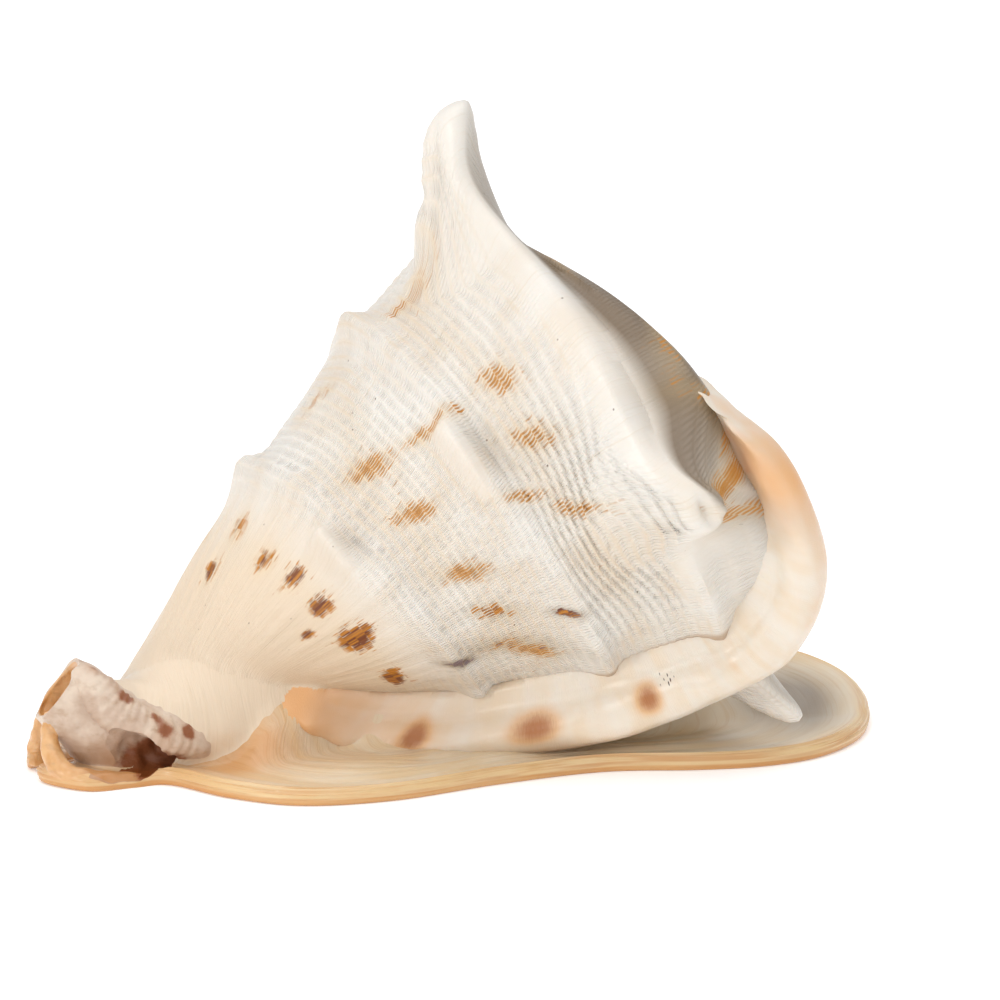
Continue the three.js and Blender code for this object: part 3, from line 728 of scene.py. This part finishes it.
CANAL_SPOTS = [  # place, radius, then brown, tan and lilac
    (-97, -18, 24, 3, 1.1, 0.5, 0), (-89.2, -22.6, 19.5, 2.2, 0.85, 0.6, 0),
    (-87, -23.5, 15.5, 2.4, 0.85, 0.6, 0),
    (-80, -22, 14, 2.6, 0.9, 0.6, 0), (-104, -12, 32, 2.4, 0.7, 0.6, 0), (-87, -15, 3, 10, 1.3, 0.3, 0),
    (-93, -19, 2, 6, 0.9, 0.3, 0), (-96, -21, 2, 9, 0, 0.8, 0), (-105, -23, 3, 7, 0, 1, 0),
]
canal_outside = canal_finish("crumpled_lilac", ink("efdac4"), ink("d6baa3"), 0.45, 0.1)
canal_inside = canal_finish("canal_orange", ink("f7c48a"), ink("e0a05a"), 0.35, 0.3)


def bar_piece(name, path, radii, finish, **shape):
    """Object of one bar, its growth place being its own x, y and z."""
    rings = bar(path, radii, **shape)
    points = with_ends(rings)
    stain = spots_at(points, CANAL_SPOTS)
    return mesh_piece(name, points, tube_faces(*rings.shape[:2]), points, stain, finish)


neck_rings = bar(*NECK, crumple=0.3, seed=49)
neck_points = with_ends(neck_rings)
neck_growth = np.repeat(np.linspace(196, 226, neck_rings.shape[0]), neck_rings.shape[1])
neck_around = 140 + 30 * np.sin(2 * np.pi * np.arange(neck_rings.shape[1]) / neck_rings.shape[1])
neck_around = np.append(np.tile(neck_around, neck_rings.shape[0]), [140, 140])
neck_growth = np.stack([np.append(neck_growth, [196, 226]), neck_around, neck_around], -1)
neck_ivory = ivory.copy()
neck_ivory.name = "neck_ivory"
neck = mesh_piece("neck", neck_points, tube_faces(*neck_rings.shape[:2]), neck_growth,
                  0 * neck_points, neck_ivory)
canal = bar_piece("canal", *CANAL, canal_outside, crumple=0.35, seed=41)
fasciole = bar_piece("fasciole", *FASCIOLE, canal_outside, crumple=0.12, ribs=0.2, seed=43)
spout_rim = bar_piece("spout_rim", *SPOUT_RIM, canal_inside, crumple=0.2, seed=53)
far_flap = bar_piece("far_flap", *FAR_FLAP, canal_inside, crumple=0.25, seed=55)
canal_bore = bar_piece("canal_bore", *CANAL_BORE, canal_inside, crumple=0.3, seed=45)
umbilicus = bar_piece("umbilicus", *UMBILICUS, canal_outside, crumple=0.5, seed=47)

# ---- Shield and present lip ------------------------------------------------------------
# The base is a broad plate of many thin glossy layers, laid over the whorl round the aperture:
# parietal shield on the near side, present outer lip on the far side. It rests on its flat rim.
BASE_OUTLINE = [
    [125, 20], [121, 42], [112, 57], [98, 71], [80, 80], [57, 83], [30, 84], [3, 83], [-28, 77],
    [-57, 68], [-82, 56], [-100, 42], [-112, 25], [-119, 8], [-120, -4], [-119, -15], [-110, -26],
    [-98, -25], [-87, -25], [-75, -44], [-58, -58], [-32, -59], [0, -49], [32, -43], [58, -48],
    [77, -49], [95, -43], [111, -27], [121, -5],
]
BASE_MIDDLE = np.array([2.0, 10.0])
HILL_FOOT = [0.66, 0.46, 0.36, 0.36, 0.4, 0.58, 0.72, 0.7, 0.68, 0.68, 0.7, 0.7]
HILL_TOP = 36.0
APRON, APRON_ANGLE = 14.0, -2.66  # height and place of the fold that climbs the neck
RIM = [  # share of the outline, height in millimetres, height as a share of the rim's
    [0.35, 4, 0], [0.7, 2.5, 0], [0.88, 0, 0], [0.985, 0, 0], [1, 0, 0.35], [0.997, 0, 0.75],
    [0.98, 0, 1],
]


def shield_finish():
    """Thin layers: cream with lines along the rim, straw and orange bands at the edge, a peach
    orange gloss below."""
    finish, tree, shader = new_finish("layered_cream", 0.38, 0.25, 0.15)
    angle, share, height = places(tree, "growth")
    dark, tan, lilac = places(tree, "stain")
    slow = mottle(tree, times(tree, angle, 3.0), times(tree, share, 12.0), 0.0, 2.0)
    layer = calc(tree, "MULTIPLY_ADD", share, 130.0, times(tree, height, 0.9))
    lines = mottle(tree, times(tree, angle, 2.0), layer, 3.0, 4.0)
    colour = blend(tree, band(tree, slow, 0.3, 0.7), ink("fdecd0"), ink("f9dcb0"))
    colour = tint(tree, colour, band(tree, lines, 0.5, 0.75), "e2b070", 0.4)
    edge = times(tree, band(tree, share, 0.955, 0.99), 0.75)
    banded = blend(tree, band(tree, lines, 0.4, 0.62), ink("f6cf8e"), ink("dc9a4a"))
    colour = blend(tree, edge, colour, banded)
    colour = tint(tree, colour, tan, "e09a4c", 0.75)
    # grey-brown on the far flange: partly its own colour, partly painted shade
    colour = tint(tree, colour, lilac, "6c5843", 0.8)
    marked = calc(tree, "MULTIPLY_ADD", lines, 0.7, dark)
    colour = tint(tree, colour, band(tree, marked, 0.7, 1.1), "bd7f34", 0.85)
    tree.links.new(colour, shader.inputs["Base Color"])
    fine = raise_bump(tree, shader, lines, 0.22 * MM)
    raise_bump(tree, shader, slow, 0.3 * MM, fine)
    return finish


def base_plate():
    """Rings round the base: a smooth edge from the hollow below round the rim, then the top.

    The top's height is the rim's, dished just inside it, plus a hill that rises into the whorl
    from a foot whose place changes round the plate, or the fold beside the neck if higher."""
    sides, edge_rings, below_rings, top_rings = 300, 26, 17, 52
    round_share = np.arange(sides) / sides
    outline = 0.997 * smooth(BASE_OUTLINE, round_share, closed=True)
    outward = outline - BASE_MIDDLE
    angle = np.arctan2(outward[:, 1], outward[:, 0])[None]
    far_side = np.clip(np.sin(angle + 0.2), 0, 1)
    rim = 5 + 7 * far_side ** 0.7
    foot = smooth(np.array(HILL_FOOT)[:, None], (angle / (2 * np.pi) + 1.5) % 1, closed=True)[..., 0]
    along_edge = np.linspace(0, 1, edge_rings)[:, None]
    edge = smooth(RIM, along_edge[:, 0])
    layers = 0.22 * np.sin(along_edge * 95 + 2 * swell_waves(angle, angle * 0, 1, 1, 51))
    edge_share = edge[:, :1] + 0 * angle
    edge_height = edge[:, 1:2] + edge[:, 2:] * rim
    on_rim = easing(along_edge, 0.6, 0.75)
    edge_share = edge_share + layers * on_rim * 0.01
    top_share = 0.98 - 0.63 * np.linspace(0, 1, top_rings + 1)[1:, None] ** 1.2 + 0 * angle
    dish = -0.3 * np.sin(np.pi * easing(top_share, 0.72, 1))
    hill = HILL_TOP * (1 - easing(top_share, foot - 0.25, foot + 0.08))
    wobble = swell_waves(angle, top_share, 0.9, 0.2, 52)
    terrace = 0.14 * np.sin(top_share * 120 + 2.4 * wobble) * easing(1 - top_share, 0.0, 0.03)
    past = angle - APRON_ANGLE
    apron = (APRON * np.exp(-(past / np.where(past > 0, 0.07, 0.2)) ** 2)
             * (1 - easing(top_share, 0.62, 0.84)))
    top_height = (rim * (1 + dish) + np.maximum(hill, apron) + terrace
                  + 0.4 * wobble * easing(1 - top_share, 0.03, 0.1))
    share = np.vstack([edge_share, top_share])
    height = np.vstack([edge_height, top_height])
    flat = BASE_MIDDLE + outward[None] * share[..., None]
    rings = np.concatenate([flat, height[..., None]], -1)
    below = (np.arange(len(share)) < below_rings)[:, None] + 0 * share
    x, y = rings[..., 0], rings[..., 1]
    dark = 0.4 * hump(x, y, -63, -24, 11, 6) * (1 - below)
    tan = below * (0.35 + 0.4 * easing(share, 0.6, 0.95))
    tan = tan + 0.55 * hump(x, y, -76, -24, 30, 18) + 0.8 * hump(x, y, -63, -24, 11, 6)
    tan += 0.7 * hump(x, y, -114, 0, 12, 30)
    # on the far flange the grey-lilac is partly the plate's own grey-brown and partly painted shade
    # under the shell's overhang
    lilac = 1.2 * hump(x, y, 98, 8, 24, 34) * (1 - below) * (1 - easing(share, 0.88, 0.98))
    stain = np.clip(np.stack([dark, tan, lilac], -1), 0, 1).reshape(-1, 3)
    growth = np.stack([angle + 0 * share, share, height], -1).reshape(-1, 3)
    growth, stain = (np.vstack([values, values[:sides].mean(0), values[-sides:].mean(0)])
                     for values in (growth, stain))
    return with_ends(rings), tube_faces(len(share), sides), growth, stain


base = mesh_piece("base", *base_plate(), shield_finish())

# ---- Aperture --------------------------------------------------------------------------
# The opening is a deep narrow slit under the whorl, with blunt teeth along both lips, and it
# runs out through the canal. Its walls are glossy and orange brown.
SLIT = [  # centre line in plan, width, depth
    [72, 36, 6, 8], [64, 37, 11, 24], [50, 39, 14, 38], [30, 40, 15, 46], [0, 39, 15, 46],
    [-30, 34, 14, 40], [-58, 25, 12, 32], [-80, 15, 10, 24], [-98, 4, 8.4, 15.5],
    [-112, -2, 7.4, 13.5], [-126, -4, 6, 9],
]
TOOTH_PITCH, TOOTH_HEIGHT = 11, 1.6
CLEARANCE = 0.6  # everything lower than this but the base is cut away


def aperture():
    """Slit section carried along its centre line, its lips pushed in and out by a cosine."""
    stations = 260
    t = np.linspace(0, 1, stations)
    table = smooth(SLIT, t)
    ahead = np.gradient(table[:, :2], axis=0)
    ahead /= np.linalg.norm(ahead, axis=1, keepdims=True)
    side = np.stack([-ahead[:, 1], ahead[:, 0]], -1)
    half, depth = table[:, 2] / 2, table[:, 3]
    toothed = easing(table[:, 0], -80, -50) * (1 - easing(table[:, 0], 70, 85))
    tooth = TOOTH_HEIGHT * toothed * np.cos(2 * np.pi * table[:, 0] / TOOTH_PITCH)
    flat = np.zeros_like(half)
    offset = np.stack([-half - 4, half + 4, half + 2.5 - tooth, half - tooth, half, half, 0.3 * half,
                       -0.3 * half, -half, -half, -half + tooth, -half - 2.5 + tooth], -1)
    height = np.stack([flat - 3, flat - 3, flat + 1, 0.15 * depth, 0.35 * depth, 0.7 * depth, depth,
                       depth, 0.7 * depth, 0.35 * depth, 0.15 * depth, flat + 1], -1)
    middle = np.concatenate([table[:, :2], 0 * table[:, :1]], -1)
    rings = (middle[:, None] + offset[..., None] * np.concatenate([side, 0 * side[:, :1]], -1)[:, None]
             + height[..., None] * np.array([0, 0, 1.0]))
    points = with_ends(rings)
    return points, tube_faces(stations, 12), points, 0 * points


def block(name, low, high, finish):
    """Plain box between two corners, to cut with."""
    corner = np.array([[x, y, z] for x in (0, 1) for y in (0, 1) for z in (0, 1)])
    points = np.array(low) + corner * np.subtract(high, low)
    faces = [[0, 1, 3, 2], [4, 6, 7, 5], [0, 4, 5, 1], [2, 3, 7, 6], [0, 2, 6, 4], [1, 5, 7, 3]]
    return mesh_piece(name, points, faces, points, 0 * points, finish)


slit = mesh_piece("slit", *aperture(), canal_inside)
ground = block("ground", (-300, -300, -100), (300, 300, CLEARANCE), canal_inside)

# ---- The whole shell -------------------------------------------------------------------
# All of it is one grown body, so the parts are joined into one closed skin, and the aperture,
# the canal's bore and the hollow beside it are cut out.


def join(piece, others):
    """Joins or cuts each other piece in turn, and keeps the result as the piece's own mesh."""
    for other, operation in others:
        step = piece.modifiers.new(other.name, "BOOLEAN")
        step.operation, step.object, step.solver = operation, other, "MANIFOLD"
        step.material_mode = "TRANSFER"
    evaluated = piece.evaluated_get(bpy.context.evaluated_depsgraph_get())
    made = bpy.data.meshes.new_from_object(evaluated)
    piece.modifiers.clear()
    piece.data = made
    for other, _ in others:
        bpy.data.objects.remove(other)


join(whorls, [(neck, "UNION"), (old_lip_piece, "UNION"), (canal, "UNION"), (fasciole, "UNION"),
              (far_flap, "UNION"), (ground, "DIFFERENCE"), (base, "UNION"), (slit, "DIFFERENCE"),
              (canal_bore, "DIFFERENCE"), (umbilicus, "DIFFERENCE"), (spout_rim, "UNION")])


def relax(place, a, b, weight, steps):
    """Moves each vertex, many times over, by its weight's half towards the mean of those that
    the edges from a to b join it to."""
    count = len(place)
    degree = np.maximum(np.bincount(a, minlength=count) + np.bincount(b, minlength=count), 1)
    for _ in range(steps):
        total = np.stack([np.bincount(a, place[b, k], count) + np.bincount(b, place[a, k], count)
                          for k in range(3)], -1)
        place += (0.5 * weight)[:, None] * (total / degree[:, None] - place)


def soften(mesh, joins, steps=48):
    """Rounds the creases where two finishes meet, as growing shell does.

    Each vertex's way to the join is found by passing lengths along the edges. Vertices within
    reach are relaxed, less the further they are from the join, and then the line of the join
    along itself."""
    place = np.empty(len(mesh.vertices) * 3)
    mesh.vertices.foreach_get("co", place)
    place = place.reshape(-1, 3) / MM
    edge = np.empty(len(mesh.edges) * 2, int)
    mesh.edges.foreach_get("vertices", edge)
    a, b = edge.reshape(-1, 2).T
    length = np.linalg.norm(place[a] - place[b], axis=1)
    vertex_of = np.empty(len(mesh.loops), int)
    size_of, kind = np.empty(len(mesh.polygons), int), np.empty(len(mesh.polygons), int)
    mesh.loops.foreach_get("vertex_index", vertex_of)
    mesh.polygons.foreach_get("loop_total", size_of)
    mesh.polygons.foreach_get("material_index", kind)
    touches = np.zeros((len(place), len(mesh.materials)), bool)
    touches[vertex_of, np.repeat(kind, size_of)] = True
    slot = {material.name: n for n, material in enumerate(mesh.materials)}
    weight, seams = np.zeros(len(place)), []
    edges_away, seam_steps = 12, 16
    for first, second, reach in joins:
        away = np.where(touches[:, slot[first]] & touches[:, slot[second]], 0.0, 1e3)
        for _ in range(edges_away):
            np.minimum.at(away, a, away[b] + length)
            np.minimum.at(away, b, away[a] + length)
        weight = np.maximum(weight, 1 - easing(away, 0, reach))
        seams.append(away == 0)
    relax(place, a, b, weight, steps)
    for on_seam in seams:
        along = on_seam[a] & on_seam[b]
        relax(place, a[along], b[along], on_seam * 1.0, seam_steps)
    place[:, 2] = np.maximum(place[:, 2], 0)
    mesh.vertices.foreach_set("co", (place * MM).ravel())
    mesh.update()


soften(whorls.data, [("weathered_ivory", "neck_ivory", 18)], 110)
soften(whorls.data, [
    ("neck_ivory", "crumpled_lilac", 4), ("weathered_ivory", "crumpled_lilac", 4),
    ("weathered_ivory", "layered_cream", 3), ("neck_ivory", "layered_cream", 2.5),
    ("crumpled_lilac", "layered_cream", 2.5), ("crumpled_lilac", "canal_orange", 1.8),
    ("layered_cream", "canal_orange", 1.5)])
whorls.name = "helmet_shell"
whorls.data.name = "helmet_shell"
whorls.data.shade_smooth()
whorls.data.set_sharp_from_angle(angle=np.radians(48))
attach(whorls, "root")
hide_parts("shell")

# ---- Stage -----------------------------------------------------------------------------
# A wide pale floor that glows faintly, a broad light overhead, a small key light from the left,
# a weak fill in front, and the camera.
floor_size = 40.0
floor_mesh = bpy.data.meshes.new("floor")
floor_mesh.from_pydata([(-floor_size, -floor_size, 0), (floor_size, -floor_size, 0),
                        (floor_size, floor_size, 0), (-floor_size, floor_size, 0)], [], [(0, 1, 2, 3)])
floor_material = bpy.data.materials.new("floor_paper")
floor_material.use_nodes = True
paper = floor_material.node_tree.nodes["Principled BSDF"].inputs
paper["Base Color"].default_value = (0.93, 0.93, 0.93, 1)
paper["Roughness"].default_value = 0.9
paper["Emission Color"].default_value = (1, 1, 1, 1)
paper["Emission Strength"].default_value = 0.24
floor_mesh.materials.append(floor_material)
floor = bpy.data.objects.new("floor", floor_mesh)
bpy.context.scene.collection.objects.link(floor)

world = bpy.data.worlds.new("studio")
world.use_nodes = True
world.node_tree.nodes["Background"].inputs["Color"].default_value = (0.98, 0.985, 1.0, 1)
world.node_tree.nodes["Background"].inputs["Strength"].default_value = 0.72
bpy.context.scene.world = world
bpy.context.scene.view_settings.view_transform = "Standard"


def soft_light(name, place, aim, size, power, colour):
    """Square area light at a place, turned to an aim."""
    data = bpy.data.lights.new(name, "AREA")
    data.size, data.energy, data.color = size, power, colour
    lamp = bpy.data.objects.new(name, data)
    bpy.context.scene.collection.objects.link(lamp)
    lamp.location = place
    lamp.rotation_euler = (Vector(aim) - Vector(place)).to_track_quat("-Z", "Y").to_euler()


soft_light("overhead", (-0.3, 0, 2.2), (0, 0.1, 0), 3.5, 38.0, (0.99, 0.99, 1))
soft_light("front", (0.3, -1.6, 0.35), (0, 0, 0.07), 1.0, 1.0, (1, 0.99, 0.97))
soft_light("key", (-1.1, -0.65, 0.4), (0, 0, 0.07), 0.22, 3.6, (1, 0.985, 0.96))

VIEW_TURN, VIEW_RISE = np.radians(-16), np.radians(12)
VIEW_DISTANCE, VIEW_WIDTH = 2.6, 0.2778
right = np.array([np.cos(VIEW_TURN), np.sin(VIEW_TURN), 0])
back = np.array([np.sin(VIEW_TURN) * np.cos(VIEW_RISE), -np.cos(VIEW_TURN) * np.cos(VIEW_RISE),
                 np.sin(VIEW_RISE)])
up = np.cross(back, right)
aim = (13.9 * right + 68.1 * up + PLACE) * MM
camera_data = bpy.data.cameras.new("camera")
camera_data.lens = camera_data.sensor_width * VIEW_DISTANCE / VIEW_WIDTH
camera = bpy.data.objects.new("camera", camera_data)
bpy.context.scene.collection.objects.link(camera)
camera.location = Vector(aim + back * VIEW_DISTANCE)
camera.rotation_euler = Vector(-back).to_track_quat("-Z", "Y").to_euler()
bpy.context.scene.camera = camera
